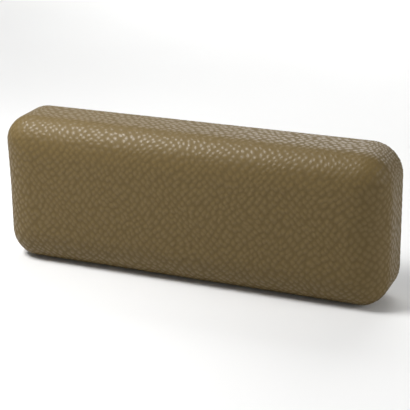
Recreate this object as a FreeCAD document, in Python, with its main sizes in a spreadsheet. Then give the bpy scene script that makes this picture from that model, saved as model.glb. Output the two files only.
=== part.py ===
import FreeCAD, Part
import math
import os
import Sketcher
from FreeCAD import Placement, Rotation, Vector

# Face cradle cushion: a firm upholstered pad on a plywood board, held from behind by four tee nuts.
#
# The frame: +X runs along the pad, -Y is the padded front, +Y the back with the tee nuts, and +Z is up.
# The pad stands on its lower long side. The origin is at the middle of that side, halfway through the depth.

# alias, value in millimetres (or a count, or degrees), what it is
SIZES = [
    ("length", 305.0, "whole pad along X"),
    ("height", 115.0, "whole pad along Z"),
    ("depth", 50.0, "whole pad along Y, from the front skin to the dust cover"),
    ("corner_radius", 22.5, "outline corners, seen from the front"),
    ("front_round", 20.0, "padded front edge"),
    ("rear_round", 6.0, "edge where the cover turns in behind the board"),
    ("cover_thickness", 1.2, "vinyl with its knitted backing"),
    ("turn_in", 22.0, "cover's outline to its raw edge behind"),
    ("opening_radius", 8.0, "corners of the cover's opening behind"),
    ("wadding_thickness", 2.0, "polyester wadding over the foam"),
    ("comfort_foam_thickness", 17.0, "soft foam in front"),
    ("board_thickness", 12.0, "plywood"),
    ("vent_spacing", 90.0, "between the two air holes of the board"),
    ("vent_radius", 4.0, "air holes of the board"),
    ("nut_spacing_x", 200.0, "between tee nuts along X"),
    ("nut_spacing_z", 50.0, "between tee nuts along Z"),
    ("nut_bore_radius", 2.5, "tapping size of the M6 thread"),
    ("nut_barrel_radius", 3.85, "tee nut barrel"),
    ("nut_barrel_length", 9.0, "tee nut barrel behind its flange"),
    ("nut_flange_radius", 9.5, "tee nut flange"),
    ("nut_flange_thickness", 1.2, "tee nut flange"),
    ("nut_prongs", 4, "prongs on each tee nut"),
    ("prong_radius", 7.9, "tee nut's axis to the inside of a prong"),
    ("prong_thickness", 1.0, "prong, measured outwards"),
    ("prong_width", 3.0, "prong at the flange"),
    ("prong_tip", 0.8, "prong at its point"),
    ("prong_length", 7.0, "prong beyond the flange"),
    ("nut_hole_radius", 4.0, "hole in the board round a barrel"),
    ("nut_recess_radius", 9.7, "recess in the board round a flange"),
    ("dust_cover_thickness", 0.7, "non-woven sheet behind, thicker than a staple's wire"),
    ("dust_cover_inset", 9.0, "pad's outline to the sheet's edge"),
    ("dust_cover_corner", 13.5, "corners of the sheet"),
    ("dust_hole_radius", 7.0, "holes of the sheet at the tee nuts"),
    ("wire_thickness", 0.5, "staple wire through the depth"),
    ("wire_width", 0.8, "staple wire across the crown"),
    ("crown", 9.5, "staple's outer width"),
    ("leg", 8.0, "staple's whole length into the board"),
    ("cover_staple_inset", 17.0, "pad's outline to the cover's staples"),
    ("cover_pitch_long", 20.0, "between cover staples on the long sides"),
    ("cover_count_long", 13, "cover staples on each long side"),
    ("cover_pitch_short", 18.0, "between cover staples on the short sides"),
    ("cover_count_short", 4, "cover staples on each short side"),
    ("fan_radius", 8.0, "corner's centre to the middle of its staples"),
    ("fan_angle", 60.0, "between the outer staples of a corner"),
    ("fan_count", 3, "cover staples at each corner"),
    ("dust_staple_inset", 12.5, "pad's outline to the dust cover's staples"),
    ("dust_pitch_long", 32.0, "between dust cover staples on the long sides"),
    ("dust_count_long", 8, "dust cover staples on each long side"),
    ("dust_pitch_short", 28.0, "between dust cover staples on the short sides"),
    ("dust_count_short", 3, "dust cover staples on each short side"),
]

# Depths along Y, from the back to the front.
BACK = "sizes.depth / 2"
FLANGE_OUTSIDE = BACK + " - sizes.dust_cover_thickness"
BOARD_BACK = FLANGE_OUTSIDE + " - sizes.cover_thickness"
BOARD_FRONT = BOARD_BACK + " - sizes.board_thickness"
SKIN_FRONT = "-sizes.depth / 2"
WADDING_FRONT = SKIN_FRONT + " + sizes.cover_thickness"
FOAM_FRONT = WADDING_FRONT + " + sizes.wadding_thickness"
FOAM_JOINT = FOAM_FRONT + " + sizes.comfort_foam_thickness"

# Insets from the pad's outline.
SKIN_INSET = "0"
BOARD_INSET = "sizes.cover_thickness"
FOAM_INSET = "sizes.cover_thickness + sizes.wadding_thickness"

MID_HEIGHT = "sizes.height / 2"
OVERSHOOT = "1"  # how far a cutting solid runs past what it cuts
TOLERANCE = 1e-4

doc = FreeCAD.newDocument("face_cradle_cushion")
sheet = doc.addObject("Spreadsheet::Sheet", "sizes")
for row, (alias, amount, meaning) in enumerate(SIZES, start=1):
    sheet.set(f"A{row}", alias)
    sheet.set(f"B{row}", str(amount))
    sheet.set(f"C{row}", meaning)
    sheet.setAlias(f"B{row}", alias)
doc.recompute()


def value(expression):
    """The number that an expression on the sheet gives now."""
    return float(sheet.evalExpression(expression))


def body_with(name, x="0", y="0", z="0", turn=Rotation()):
    """An empty body, turned as given, whose place is bound to the sheet."""
    body = doc.addObject("PartDesign::Body", name)
    body.Label = name
    body.Placement = Placement(Vector(), turn)
    for axis, expression in (("x", x), ("y", y), ("z", z)):
        body.setExpression(f"Placement.Base.{axis}", expression)
    return body


def origin_part(body, role):
    """One of the body's own origin planes or axes."""
    return next(o for o in body.Origin.OriginFeatures if o.Role == role)


def sketch_on(body, plane, name, offset="0", along="0"):
    """A sketch on an origin plane, moved out of the plane by offset and along its own x by along."""
    sketch = body.newObject("Sketcher::SketchObject", f"{body.Name}_{name}")
    sketch.AttachmentSupport = [(origin_part(body, plane), "")]
    sketch.MapMode = "FlatFace"
    sketch.setExpression("AttachmentOffset.Base.x", along)
    sketch.setExpression("AttachmentOffset.Base.z", offset)
    return sketch


def dimension(sketch, kind, geometry, expression):
    """Adds a dimension to the sketch and binds it to the sheet."""
    index = sketch.addConstraint(Sketcher.Constraint(kind, *geometry, value(expression)))
    sketch.setExpression(f"Constraints[{index}]", expression)


def rounded_rectangle(sketch, width, height, corner):
    """A rectangle about the sketch's origin, with equal round corners."""
    half_x = value(width) / 2
    half_y = value(height) / 2
    radius = value(corner)
    turns = [(1, -1, -90), (1, 1, 0), (-1, 1, 90), (-1, -1, 180)]
    arcs = []
    for side_x, side_y, start in turns:
        centre = Vector(side_x * (half_x - radius), side_y * (half_y - radius), 0)
        circle = Part.Circle(centre, Vector(0, 0, 1), radius)
        arcs.append(Part.ArcOfCircle(circle, math.radians(start), math.radians(start + 90)))
    for arc, following in zip(arcs, arcs[1:] + arcs[:1]):
        sketch.addGeometry(arc)
        sketch.addGeometry(Part.LineSegment(arc.EndPoint, following.StartPoint))
    start_point, end_point, centre_point = 1, 2, 3
    for arc in (0, 2, 4, 6):
        line = arc + 1
        following = (arc + 2) % 8
        straight = "Vertical" if arc in (0, 4) else "Horizontal"
        sketch.addConstraint(Sketcher.Constraint("Tangent", arc, end_point, line, start_point))
        sketch.addConstraint(Sketcher.Constraint("Tangent", line, end_point, following, start_point))
        sketch.addConstraint(Sketcher.Constraint(straight, line))
    for arc in (2, 4, 6):
        sketch.addConstraint(Sketcher.Constraint("Equal", 0, arc))
    sketch.addConstraint(Sketcher.Constraint("Symmetric", 0, centre_point, 4, centre_point, -1, 1))
    dimension(sketch, "Radius", (0,), corner)
    dimension(sketch, "DistanceX", (5, start_point, 1, start_point), width)
    dimension(sketch, "DistanceY", (7, start_point, 3, start_point), height)


def polygon(sketch, corners):
    """A closed outline through corners, each a pair of expressions measured from the origin."""
    points = [Vector(value(x), value(y), 0) for x, y in corners]
    for point, following in zip(points, points[1:] + points[:1]):
        sketch.addGeometry(Part.LineSegment(point, following))
    for line, (x, y) in enumerate(corners):
        following = (line + 1) % len(corners)
        sketch.addConstraint(Sketcher.Constraint("Coincident", line, 2, following, 1))
        dimension(sketch, "DistanceX", (-1, 1, line, 1), x)
        dimension(sketch, "DistanceY", (-1, 1, line, 1), y)


def four_circles(sketch, radius, spacing_x, spacing_y):
    """Equal circles at the corners of a rectangle about the sketch's origin."""
    centre = Vector(value(spacing_x) / 2, value(spacing_y) / 2, 0)
    mirrors = [(1, 1, ()), (-1, 1, (-2,)), (1, -1, (-1,)), (-1, -1, (-1, 1))]
    for number, (side_x, side_y, mirror) in enumerate(mirrors):
        place = Vector(side_x * centre.x, side_y * centre.y, 0)
        sketch.addGeometry(Part.Circle(place, Vector(0, 0, 1), value(radius)))
        if number:
            sketch.addConstraint(Sketcher.Constraint("Equal", 0, number))
            sketch.addConstraint(Sketcher.Constraint("Symmetric", 0, 3, number, 3, *mirror))
    dimension(sketch, "Radius", (0,), radius)
    dimension(sketch, "DistanceX", (-1, 1, 0, 3), f"{spacing_x} / 2")
    dimension(sketch, "DistanceY", (-1, 1, 0, 3), f"{spacing_y} / 2")


def two_circles(sketch, radius, spacing):
    """Two equal circles in line with the sketch's x axis, one each side of its origin."""
    for side in (1, -1):
        place = Vector(side * value(spacing) / 2, 0, 0)
        sketch.addGeometry(Part.Circle(place, Vector(0, 0, 1), value(radius)))
    sketch.addConstraint(Sketcher.Constraint("Equal", 0, 1))
    sketch.addConstraint(Sketcher.Constraint("Symmetric", 0, 3, 1, 3, -2))
    sketch.addConstraint(Sketcher.Constraint("PointOnObject", 0, 3, -1))
    dimension(sketch, "Radius", (0,), radius)
    dimension(sketch, "DistanceX", (-1, 1, 0, 3), f"{spacing} / 2")


def pad(body, sketch, thickness, both_ways=False):
    """Raises the sketch by thickness, or by half of it each way."""
    feature = body.newObject("PartDesign::Pad", f"{sketch.Name}_pad")
    feature.Profile = sketch
    feature.setExpression("Length", thickness)
    feature.Midplane = both_ways
    doc.recompute()
    return feature


def cut_holes(body, sketch, depth=None, towards_front=True):
    """Sinks the sketch into the body, right through or to a depth, and checks that something went."""
    before = body.Shape.Volume
    feature = body.newObject("PartDesign::Pocket", f"{sketch.Name}_pocket")
    feature.Profile = sketch
    feature.Reversed = towards_front
    if depth is None:
        feature.Type = "ThroughAll"
    else:
        feature.setExpression("Length", depth)
    doc.recompute()
    if body.Shape.Volume > before - TOLERANCE:
        raise RuntimeError(f"{feature.Name} removed nothing")
    return feature


def round_rim(body, feature, at_y, radius, name):
    """Rounds every edge of the feature that lies in the plane y = at_y of the body."""
    rim = []
    for number, edge in enumerate(feature.Shape.Edges, start=1):
        box = edge.BoundBox
        if abs(box.YMin - at_y) < TOLERANCE and abs(box.YMax - at_y) < TOLERANCE:
            rim.append(f"Edge{number}")
    fillet = body.newObject("PartDesign::Fillet", f"{body.Name}_{name}")
    fillet.Base = (feature, rim)
    fillet.setExpression("Radius", radius)
    doc.recompute()
    return fillet


def slab(name, inset, rear, front, corner=None, front_round=None, rear_round=None):
    """A slab with the outline drawn in by inset, between two depths, placed by its rear face."""
    body = body_with(name, y=rear, z=MID_HEIGHT)
    outline = sketch_on(body, "XZ_Plane", "outline")
    corner = corner or f"sizes.corner_radius - ({inset})"
    rounded_rectangle(outline, f"sizes.length - 2 * ({inset})", f"sizes.height - 2 * ({inset})", corner)
    thickness = f"({rear}) - ({front})"
    feature = pad(body, outline, thickness)
    if front_round:
        feature = round_rim(body, feature, -value(thickness), front_round, "front_edge")
    if rear_round:
        feature = round_rim(body, feature, 0, rear_round, "rear_edge")
    return body


def cut(name, base, tool):
    """What is left of base once tool is taken out of it, with a check that something was removed."""
    result = doc.addObject("Part::Cut", name)
    result.Label = name
    result.Base = base
    result.Tool = tool
    doc.recompute()
    if result.Shape.Volume > base.Shape.Volume - TOLERANCE:
        raise RuntimeError(f"{name} lost nothing")
    return result


def group(name, members):
    """Several separate solids as one object."""
    compound = doc.addObject("Part::Compound", name)
    compound.Label = name
    compound.Links = members
    doc.recompute()
    return compound


def tee_nut(name, x, z):
    """A flanged barrel with prongs. Its own z axis points out of the back of the pad."""
    body = body_with(name, x, BOARD_FRONT, z, Rotation(Vector(1, 0, 0), -90))
    profile = sketch_on(body, "XZ_Plane", "profile")
    end = "sizes.nut_flange_thickness + sizes.nut_barrel_length"
    polygon(
        profile,
        [
            ("sizes.nut_bore_radius", "0"),
            ("sizes.nut_flange_radius", "0"),
            ("sizes.nut_flange_radius", "sizes.nut_flange_thickness"),
            ("sizes.nut_barrel_radius", "sizes.nut_flange_thickness"),
            ("sizes.nut_barrel_radius", end),
            ("sizes.nut_bore_radius", end),
        ],
    )
    barrel = body.newObject("PartDesign::Revolution", f"{name}_turned")
    barrel.Profile = profile
    barrel.ReferenceAxis = (profile, ["V_Axis"])
    barrel.Angle = 360
    doc.recompute()
    outline = sketch_on(body, "YZ_Plane", "prong", offset="sizes.prong_radius")
    point = "sizes.nut_flange_thickness + sizes.prong_length"
    polygon(
        outline,
        [
            ("-sizes.prong_width / 2", "0"),
            ("sizes.prong_width / 2", "0"),
            ("sizes.prong_tip / 2", point),
            ("-sizes.prong_tip / 2", point),
        ],
    )
    prong = pad(body, outline, "sizes.prong_thickness")
    pattern = body.newObject("PartDesign::PolarPattern", f"{name}_prongs")
    pattern.Originals = [prong]
    pattern.Axis = (origin_part(body, "Z_Axis"), [""])
    pattern.Angle = 360
    pattern.setExpression("Occurrences", "sizes.nut_prongs")
    body.Tip = pattern
    doc.recompute()
    return body


def staple(body, along="0"):
    """One staple: its crown lies along the body's x axis, and its legs point to the front."""
    outline = sketch_on(body, "XY_Plane", "staple", along=along)
    outside = "sizes.crown / 2"
    inside = "(sizes.crown / 2 - sizes.wire_thickness)"
    polygon(
        outline,
        [
            (f"-{outside}", "0"),
            (f"-{outside}", "-sizes.leg"),
            (f"-{inside}", "-sizes.leg"),
            (f"-{inside}", "-sizes.wire_thickness"),
            (inside, "-sizes.wire_thickness"),
            (inside, "-sizes.leg"),
            (outside, "-sizes.leg"),
            (outside, "0"),
        ],
    )
    return pad(body, outline, "sizes.wire_width", both_ways=True)


def staple_row(name, side, inset, rear, pitch, count):
    """A row of staples along one side of the back: bottom, top, left or right."""
    reach = f"{pitch} * ({count} - 1)"
    places = {
        "bottom": (f"-{reach} / 2", inset),
        "top": (f"-{reach} / 2", f"sizes.height - {inset}"),
        "left": (f"-sizes.length / 2 + {inset}", f"{MID_HEIGHT} - {reach} / 2"),
        "right": (f"sizes.length / 2 - {inset}", f"{MID_HEIGHT} - {reach} / 2"),
    }
    x, z = places[side]
    upright = Rotation(Vector(0, 1, 0), -90) if side in ("left", "right") else Rotation()
    body = body_with(name, x, rear, z, upright)
    first = staple(body)
    pattern = body.newObject("PartDesign::LinearPattern", f"{name}_row")
    pattern.Originals = [first]
    pattern.Direction = (origin_part(body, "X_Axis"), [""])
    pattern.setExpression("Length", reach)
    pattern.setExpression("Occurrences", count)
    body.Tip = pattern
    doc.recompute()
    return body


def staple_fan(number, side_x, side_z, direction):
    """One corner's staples, like spokes about the corner's centre, spread about a direction in degrees."""
    x = f"{side_x} * (sizes.length / 2 - sizes.corner_radius)"
    z = f"{MID_HEIGHT} + {side_z} * (sizes.height / 2 - sizes.corner_radius)"
    first_angle = direction + value("sizes.fan_angle") / 2
    name = f"corner_fan_{number}"
    body = body_with(name, x, FLANGE_OUTSIDE, z, Rotation(Vector(0, 1, 0), -first_angle))
    first = staple(body, along="sizes.fan_radius")
    pattern = body.newObject("PartDesign::PolarPattern", f"{name}_spokes")
    pattern.Originals = [first]
    pattern.Axis = (origin_part(body, "Y_Axis"), [""])
    pattern.setExpression("Angle", "sizes.fan_angle")
    pattern.setExpression("Occurrences", "sizes.fan_count")
    body.Tip = pattern
    doc.recompute()
    return body


# Staples

SIDES = {"bottom": "long", "top": "long", "left": "short", "right": "short"}
cover_staples = []
dust_cover_staples = []
for side, kind in SIDES.items():
    cover_staples.append(
        staple_row(
            f"cover_staples_{side}",
            side,
            "sizes.cover_staple_inset",
            FLANGE_OUTSIDE,
            f"sizes.cover_pitch_{kind}",
            f"sizes.cover_count_{kind}",
        )
    )
    dust_cover_staples.append(
        staple_row(
            f"dust_cover_staples_{side}",
            side,
            "sizes.dust_staple_inset",
            BACK,
            f"sizes.dust_pitch_{kind}",
            f"sizes.dust_count_{kind}",
        )
    )
CORNERS = [(1, 1, 45), (-1, 1, 135), (-1, -1, 225), (1, -1, 315)]
fans = [staple_fan(number, *corner) for number, corner in enumerate(CORNERS, start=1)]
cover_staples.append(group("cover_staples_corners", fans))

# Tee nuts

tee_nuts = []
for side_x, word_x in ((-1, "left"), (1, "right")):
    for side_z, word_z in ((-1, "bottom"), (1, "top")):
        x = f"{side_x} * sizes.nut_spacing_x / 2"
        z = f"{MID_HEIGHT} + {side_z} * sizes.nut_spacing_z / 2"
        tee_nuts.append(tee_nut(f"tee_nut_{word_x}_{word_z}", x, z))

# Base board: plywood with a rounded rear edge, the tee nuts' holes and recesses, and two air holes

board_round = "sizes.rear_round - sizes.cover_thickness"
board_blank = slab("board_blank", BOARD_INSET, BOARD_BACK, BOARD_FRONT, rear_round=board_round)
holes = sketch_on(board_blank, "XZ_Plane", "nut_holes")
four_circles(holes, "sizes.nut_hole_radius", "sizes.nut_spacing_x", "sizes.nut_spacing_z")
cut_holes(board_blank, holes)
recesses = sketch_on(board_blank, "XZ_Plane", "nut_recesses", offset="sizes.board_thickness")
four_circles(recesses, "sizes.nut_recess_radius", "sizes.nut_spacing_x", "sizes.nut_spacing_z")
cut_holes(board_blank, recesses, "sizes.nut_flange_thickness", towards_front=False)
vents = sketch_on(board_blank, "XZ_Plane", "vents")
two_circles(vents, "sizes.vent_radius", "sizes.vent_spacing")
cut_holes(board_blank, vents)
board_fixings = group("board_fixings", tee_nuts + cover_staples + dust_cover_staples)
base_board = cut("base_board", board_blank, board_fixings)

# Foam and wadding

foam_round = "sizes.front_round - sizes.cover_thickness - sizes.wadding_thickness"
wadding_round = "sizes.front_round - sizes.cover_thickness"
support_foam = slab("support_foam", FOAM_INSET, BOARD_FRONT, FOAM_JOINT)
comfort_foam = slab("comfort_foam", FOAM_INSET, FOAM_JOINT, FOAM_FRONT, front_round=foam_round)
wadding_outside = slab("wadding_outside", BOARD_INSET, BOARD_FRONT, WADDING_FRONT, front_round=wadding_round)
wadding_inside = slab("wadding_inside", FOAM_INSET, BOARD_FRONT, FOAM_FRONT, front_round=foam_round)
wadding = cut("wadding", wadding_outside, wadding_inside)

# Cover: one sheet over the front and the sides, turned in behind the board and stapled

cover_outside = slab(
    "cover_outside",
    SKIN_INSET,
    FLANGE_OUTSIDE,
    SKIN_FRONT,
    front_round="sizes.front_round",
    rear_round="sizes.rear_round",
)
cover_inside = slab(
    "cover_inside",
    BOARD_INSET,
    BOARD_BACK,
    WADDING_FRONT,
    front_round=wadding_round,
    rear_round=board_round,
)
cover_opening = slab(
    "cover_opening",
    "sizes.turn_in",
    f"{FLANGE_OUTSIDE} + {OVERSHOOT}",
    f"{BOARD_BACK} - {OVERSHOOT}",
    corner="sizes.opening_radius",
)
cover_hollow = doc.addObject("Part::MultiFuse", "cover_hollow")
cover_hollow.Shapes = [cover_inside, cover_opening]
doc.recompute()
cover_shell = cut("cover_shell", cover_outside, cover_hollow)
cover_fixings = group("cover_fixings", cover_staples + dust_cover_staples)
cover = cut("cover", cover_shell, cover_fixings)

# Dust cover: a thin sheet stapled over the raw edges, with a hole at each tee nut

dust_sheet = slab(
    "dust_sheet",
    "sizes.dust_cover_inset",
    BACK,
    FLANGE_OUTSIDE,
    corner="sizes.dust_cover_corner",
)
dust_holes = sketch_on(dust_sheet, "XZ_Plane", "nut_holes")
four_circles(dust_holes, "sizes.dust_hole_radius", "sizes.nut_spacing_x", "sizes.nut_spacing_z")
cut_holes(dust_sheet, dust_holes)
dust_fixings = group("dust_fixings", dust_cover_staples)
dust_cover = cut("dust_cover", dust_sheet, dust_fixings)

# Every sub-part, with the number of separate solids that it is made of

fan_staples = len(CORNERS) * int(value("sizes.fan_count"))
SUB_PARTS = [(part, 1) for part in (cover, wadding, comfort_foam, support_foam, base_board, dust_cover)]
SUB_PARTS += [(nut, 1) for nut in tee_nuts]
for rows, prefix in ((cover_staples, "cover"), (dust_cover_staples, "dust")):
    for row, kind in zip(rows, SIDES.values()):
        SUB_PARTS.append((row, int(value(f"sizes.{prefix}_count_{kind}"))))
SUB_PARTS.append((cover_staples[-1], fan_staples))

doc.recompute()
for item in doc.Objects:
    if "Invalid" in item.State or "Error" in item.State:
        raise RuntimeError(f"{item.Name} failed: {item.State}")
for part, solids in SUB_PARTS:
    if part.Shape.isNull() or not part.Shape.isValid():
        raise RuntimeError(f"{part.Label} has no valid shape")
    if len(part.Shape.Solids) != solids:
        raise RuntimeError(f"{part.Label} has {len(part.Shape.Solids)} solids, not {solids}")

os.makedirs("parts", exist_ok=True)
for part, solids in SUB_PARTS:
    part.Shape.exportStep(f"parts/{part.Label}.step")
    box = part.Shape.BoundBox
    print(
        f"{part.Label}: {solids} solid(s), {part.Shape.Volume / 1000:.2f} cm3,",
        f"{box.XLength:.2f} x {box.YLength:.2f} x {box.ZLength:.2f} mm",
    )
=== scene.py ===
import math

import bmesh
import bpy
import numpy as np
from mathutils import Matrix, Vector
from mathutils.bvhtree import BVHTree
from mathutils.geometry import delaunay_2d_cdt


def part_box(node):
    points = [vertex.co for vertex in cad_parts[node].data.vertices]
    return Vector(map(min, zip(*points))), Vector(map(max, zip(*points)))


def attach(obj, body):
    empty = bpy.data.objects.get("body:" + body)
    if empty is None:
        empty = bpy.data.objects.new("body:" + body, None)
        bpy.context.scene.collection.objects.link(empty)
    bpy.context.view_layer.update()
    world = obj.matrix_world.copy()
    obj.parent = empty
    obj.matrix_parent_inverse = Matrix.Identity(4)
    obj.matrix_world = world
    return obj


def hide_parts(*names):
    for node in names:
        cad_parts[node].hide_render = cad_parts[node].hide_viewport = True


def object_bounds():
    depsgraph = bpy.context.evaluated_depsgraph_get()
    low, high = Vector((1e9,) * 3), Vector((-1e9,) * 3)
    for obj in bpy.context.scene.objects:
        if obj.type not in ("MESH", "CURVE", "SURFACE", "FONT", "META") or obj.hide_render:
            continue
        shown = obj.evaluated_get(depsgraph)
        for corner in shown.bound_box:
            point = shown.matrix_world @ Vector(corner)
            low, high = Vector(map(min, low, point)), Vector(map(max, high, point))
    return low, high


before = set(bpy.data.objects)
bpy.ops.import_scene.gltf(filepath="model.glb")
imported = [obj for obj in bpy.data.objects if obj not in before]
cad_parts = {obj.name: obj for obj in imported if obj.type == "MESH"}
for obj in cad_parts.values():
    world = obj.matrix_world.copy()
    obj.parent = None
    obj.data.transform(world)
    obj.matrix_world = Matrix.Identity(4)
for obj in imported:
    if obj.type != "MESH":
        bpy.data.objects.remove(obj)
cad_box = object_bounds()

# A firm face pad in pebble-grained vinyl: +X runs along the pad, -Y is the padded front, +Z is up.
# Every length is in metres.

MM = 0.001

# Places, from the frame.
PAD_LOW, PAD_HIGH = cad_box
PAD_CENTRE = (PAD_LOW + PAD_HIGH) / 2
PAD_SIZE = PAD_HIGH - PAD_LOW
COVER_LOW, COVER_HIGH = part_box("cover")
BOARD_LOW, BOARD_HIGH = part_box("base_board")
SHEET_LOW, SHEET_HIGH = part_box("dust_cover")
WADDING_LOW, WADDING_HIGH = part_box("wadding")
SOFT_LOW, SOFT_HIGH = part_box("comfort_foam")
FIRM_LOW, FIRM_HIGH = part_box("support_foam")

# The pad's form.
CORNER = 22.5 * MM
FRONT_ROUND = 20 * MM
REAR_ROUND = 6 * MM
TURN_IN = 22 * MM
SKIN = COVER_HIGH.y - BOARD_HIGH.y
WADDING = SOFT_LOW.y - WADDING_LOW.y
HALF_X = PAD_SIZE.x / 2 - CORNER
HALF_Z = PAD_SIZE.z / 2 - CORNER
SHOULDER = 27 * MM  # how far in from the outline the front face starts to curve back
CROWN = 1.6 * MM
SIDE_CROWN = 0.3 * MM

# The vinyl's grain.
GRAIN_CELL = 4.1 * MM
GRAIN_DEPTH = 0.22 * MM
GRAIN_TOP = 0.08  # distances from a pebble's middle, in cells
GRAIN_FOOT = 0.64
GRAIN_RANDOM = 0.43
GRAIN_TALL = 1.10  # a pebble's height over its width
GRAIN_WANDER = 1.5 * MM  # how far a row of pebbles strays from straight
SIDE_STRETCH = 0.45  # the share of their height that pebbles lose where the vinyl is pulled over the sides

rng = np.random.default_rng(29)


# Geometry helpers


def smooth_step(low, high, x):
    """0 below low, 1 above high, and a smooth rise between."""
    part = np.clip((x - low) / (high - low), 0, 1)
    return part * part * (3 - 2 * part)


def meridian(inset):
    """The pad's profile from a corner's centre: over the front, the side and the rear edge, then inwards.

    The function returned takes the distance along the profile, and gives the distance out from the corner's
    centre, the depth, and the two parts of the outward normal. inset is how far it lies inside the vinyl.
    """
    front = COVER_LOW.y + inset
    rear = COVER_HIGH.y - inset
    front_round = FRONT_ROUND - inset
    rear_round = REAR_ROUND - inset
    flat = CORNER - FRONT_ROUND
    side_start = flat + front_round * math.pi / 2
    side = rear - front - front_round - rear_round
    rear_start = side_start + side
    rear_end = rear_start + rear_round * math.pi / 2

    def at(along):
        along = np.asarray(along, float)
        over_front = np.clip((along - flat) / front_round, 0, math.pi / 2)
        over_rear = np.clip((along - rear_start) / rear_round, 0, math.pi / 2)
        out = np.minimum(along, flat) + front_round * np.sin(over_front)
        out = out - rear_round * (1 - np.cos(over_rear)) - np.maximum(along - rear_end, 0)
        depth = front + front_round * (1 - np.cos(over_front)) + rear_round * np.sin(over_rear)
        depth = depth + np.clip(along - side_start, 0, side)
        turn = over_front + over_rear
        return out, depth, np.sin(turn), -np.cos(turn)

    at.side_start = side_start
    at.rear_start = rear_start
    at.rear_end = rear_end
    return at


def flat_back(depth):
    """The profile of a flat face that looks to the back at this depth."""

    def at(along):
        along = np.asarray(along, float)
        return along, np.full_like(along, depth), np.zeros_like(along), np.ones_like(along)

    return at


def stations(long_count, short_count, corner_count):
    """Places round the box of corner centres, the way out at each, and the grid vertex each grows from."""
    xs = np.linspace(-HALF_X, HALF_X, long_count + 1)
    zs = np.linspace(-HALF_Z, HALF_Z, short_count + 1)
    row = long_count + 1
    sides = [
        (xs, np.full_like(xs, -HALF_Z), -90, np.arange(row)),
        (np.full_like(zs, HALF_X), zs, 0, np.arange(short_count + 1) * row + long_count),
        (xs[::-1], np.full_like(xs, HALF_Z), 90, short_count * row + np.arange(row)[::-1]),
        (np.full_like(zs, -HALF_X), zs[::-1], 180, np.arange(short_count + 1)[::-1] * row),
    ]
    base, angle, root = [], [], []
    for x, z, way, roots in sides:
        turn = way + 90 * np.arange(1, corner_count) / corner_count
        base.append(np.stack([x, z], 1))
        base.append(np.tile([x[-1], z[-1]], (corner_count - 1, 1)))
        angle += [np.full(len(x), way), turn]
        root += [roots, np.full(corner_count - 1, roots[-1])]
    angle = np.radians(np.concatenate(angle))
    grid_x, grid_z = np.meshgrid(xs, zs)
    return {
        "grid": np.stack([grid_x.ravel(), grid_z.ravel()], 1),
        "row": row,
        "base": np.concatenate(base),
        "way": np.stack([np.cos(angle), np.sin(angle)], 1),
        "angle": angle,
        "root": np.concatenate(root),
    }


def surface(profile, steps, counts):
    """A surface that follows the pad's outline: a flat middle grid, then one ring for each step."""
    place = stations(*counts)
    steps = np.asarray(steps, float)
    out, depth, normal_out, normal_depth = profile(steps)
    _, middle_depth, _, middle_normal = profile(0.0)
    grid, base, way = place["grid"], place["base"], place["way"]
    rings = base[None] + out[:, None, None] * way[None]
    unrolled = base[None] + steps[:, None, None] * way[None]
    ring_count, around = rings.shape[:2]
    points = np.empty((len(grid) + ring_count * around, 3))
    normals = np.zeros_like(points)
    flat = np.zeros((len(points), 3))
    along = np.zeros(len(points))
    angle = np.zeros(len(points))
    points[: len(grid)] = np.stack([grid[:, 0], np.full(len(grid), middle_depth), grid[:, 1]], 1)
    normals[: len(grid), 1] = middle_normal
    flat[: len(grid), :2] = grid
    points[len(grid) :, 0] = rings[..., 0].ravel()
    points[len(grid) :, 1] = np.repeat(depth, around)
    points[len(grid) :, 2] = rings[..., 1].ravel()
    normals[len(grid) :, 0] = (normal_out[:, None] * way[None, :, 0]).ravel()
    normals[len(grid) :, 1] = np.repeat(normal_depth, around)
    normals[len(grid) :, 2] = (normal_out[:, None] * way[None, :, 1]).ravel()
    flat[len(grid) :, :2] = unrolled.reshape(-1, 2)
    along[len(grid) :] = np.repeat(steps, around)
    angle[len(grid) :] = np.tile(place["angle"], ring_count)
    points[:, 0] += PAD_CENTRE.x
    points[:, 2] += PAD_CENTRE.z
    first = len(grid) + np.arange(around)
    faces = middle_faces(place["row"], len(grid)) + ring_faces(place["root"], first, ring_count)
    return {
        "points": points,
        "normals": normals,
        "flat": flat,
        "along": along,
        "angle": angle,
        "faces": faces,
        "rim": first + (ring_count - 1) * around,
    }


def middle_faces(row, count):
    """The quads of the flat middle grid."""
    corner = np.arange(count - row).reshape(-1, row)[:, :-1].ravel()
    return np.stack([corner, corner + 1, corner + row + 1, corner + row], 1).tolist()


def ring_faces(root, first, ring_count):
    """The faces from the middle grid's edge out through every ring."""
    faces = []
    around = len(first)
    for here in range(around):
        there = (here + 1) % around
        if root[here] == root[there]:
            faces.append([int(root[here]), int(first[here]), int(first[there])])
        else:
            faces.append([int(root[here]), int(first[here]), int(first[there]), int(root[there])])
    for ring in range(ring_count - 1):
        near = first + ring * around
        far = near + around
        quads = np.stack([near, far, np.roll(far, -1), np.roll(near, -1)], 1)
        faces += quads.tolist()
    return faces


def joined(outer, inner):
    """One closed body out of two surfaces: outer faces out, inner is turned over, a band joins the rims.

    The outer rim has a whole number of times as many points as the inner rim.
    """
    shift = len(outer["points"])
    faces = outer["faces"] + [[v + shift for v in reversed(face)] for face in inner["faces"]]
    ratio = len(outer["rim"]) // len(inner["rim"])
    outer_rim = outer["rim"].tolist()
    inner_rim = (inner["rim"] + shift).tolist()
    for here in range(len(inner_rim)):
        there = (here + 1) % len(inner_rim)
        edge = [outer_rim[i % len(outer_rim)] for i in range(ratio * (here + 1), ratio * here - 1, -1)]
        faces.append([inner_rim[here], inner_rim[there], *edge])
    inner = dict(inner, normals=-inner["normals"])
    keys = ("points", "normals", "flat", "along", "angle")
    both = {key: np.concatenate([outer[key], inner[key]]) for key in keys}
    both["faces"] = faces
    both["outer_count"] = shift
    return both


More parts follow.
